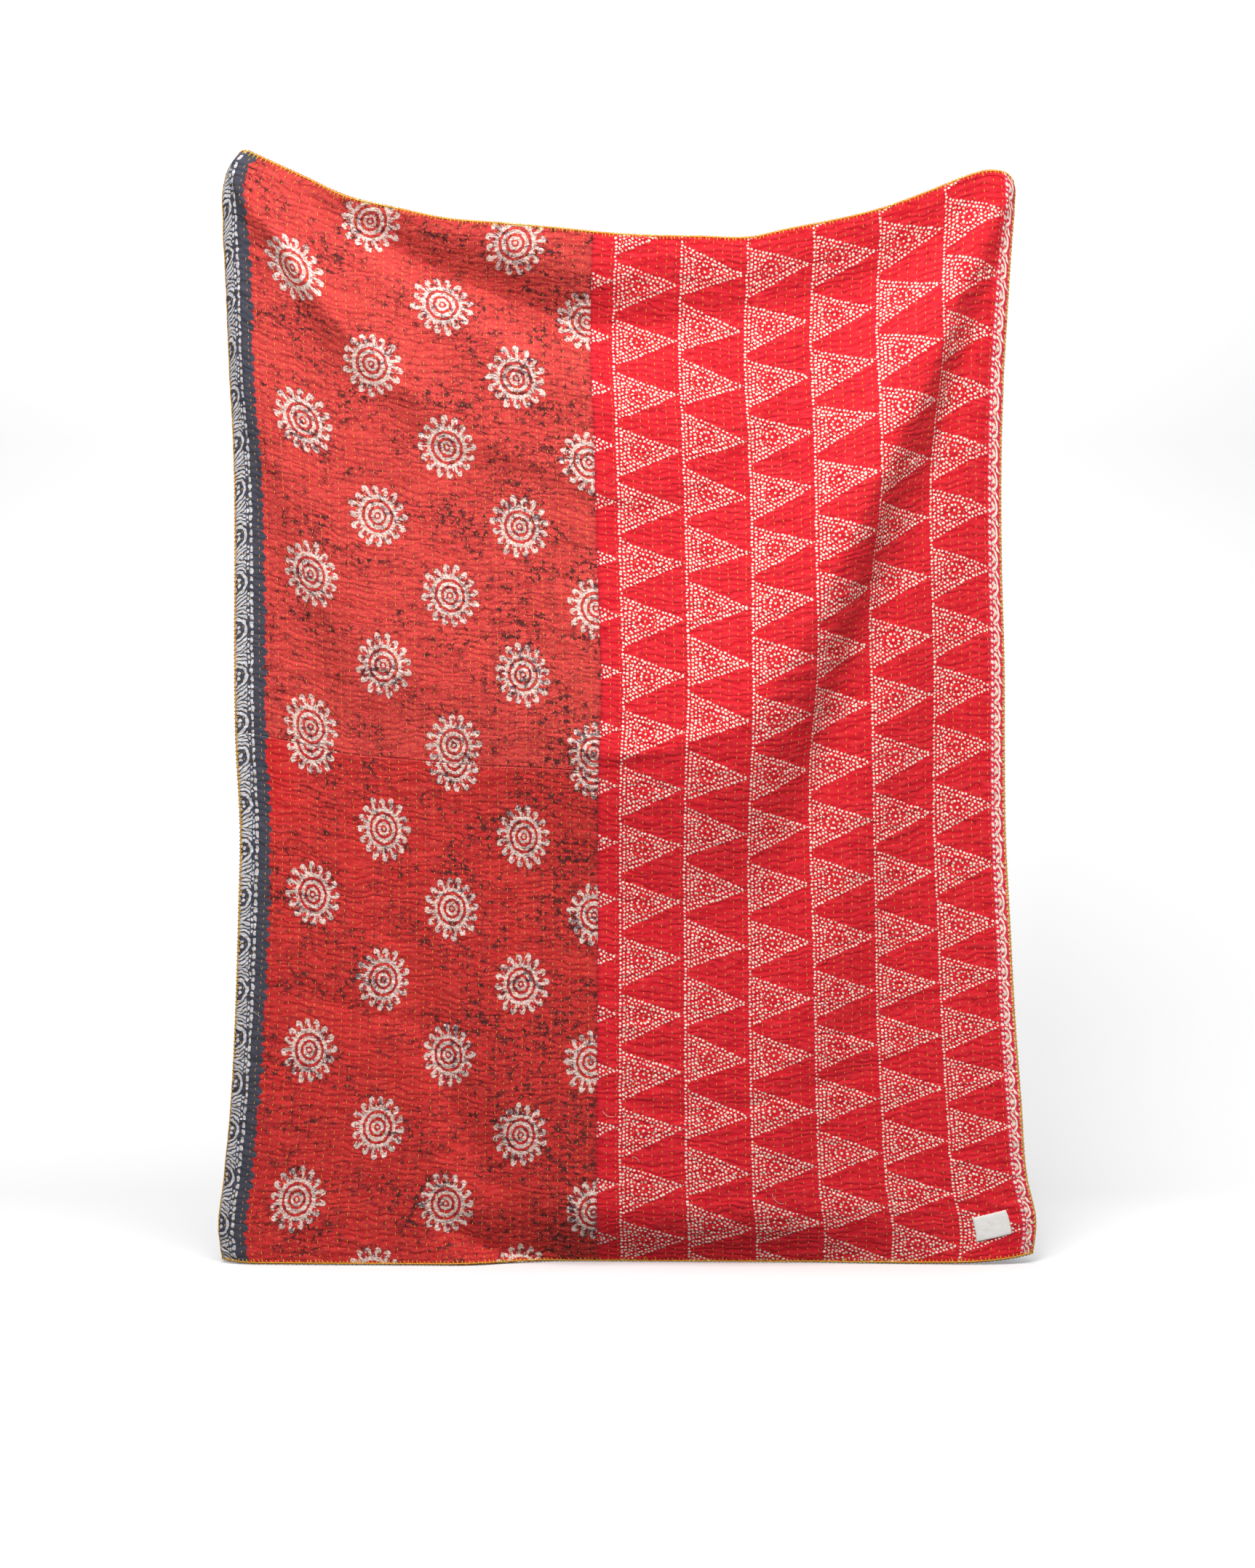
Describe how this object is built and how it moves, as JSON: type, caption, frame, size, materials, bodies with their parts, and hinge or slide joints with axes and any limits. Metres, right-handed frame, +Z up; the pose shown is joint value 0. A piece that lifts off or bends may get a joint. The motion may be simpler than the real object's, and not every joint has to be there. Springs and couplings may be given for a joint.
{
  "type": "kantha throw",
  "caption": "Quilted patchwork throw of printed cotton panels with a small sewn label, hanging from its two upper corners with its hem on the floor",
  "frame": {"origin": "the lowest stretch of the sagging top edge, in the middle of the cloth, which is the mount top_edge", "axes": "+Z up, +X to the right as seen from the front, and the front of the cloth faces -Y"},
  "size_m": [1.3088, 0.1195, 1.7789],
  "materials": {
    "sun_cloth": "faded batik red cotton with cream suns and a navy border, quilted with yellow running stitches",
    "triangle_cloth": "crimson cotton with dotted cream triangles, quilted with yellow running stitches",
    "label_cloth": "washed cream cotton with frayed edges, bare"
  },
  "bodies": {
    "root": {"sun_panel_top": "sun_cloth", "sun_panel_bottom": "sun_cloth", "triangle_panel": "triangle_cloth", "label": "label_cloth"}
  },
  "joints": []
}
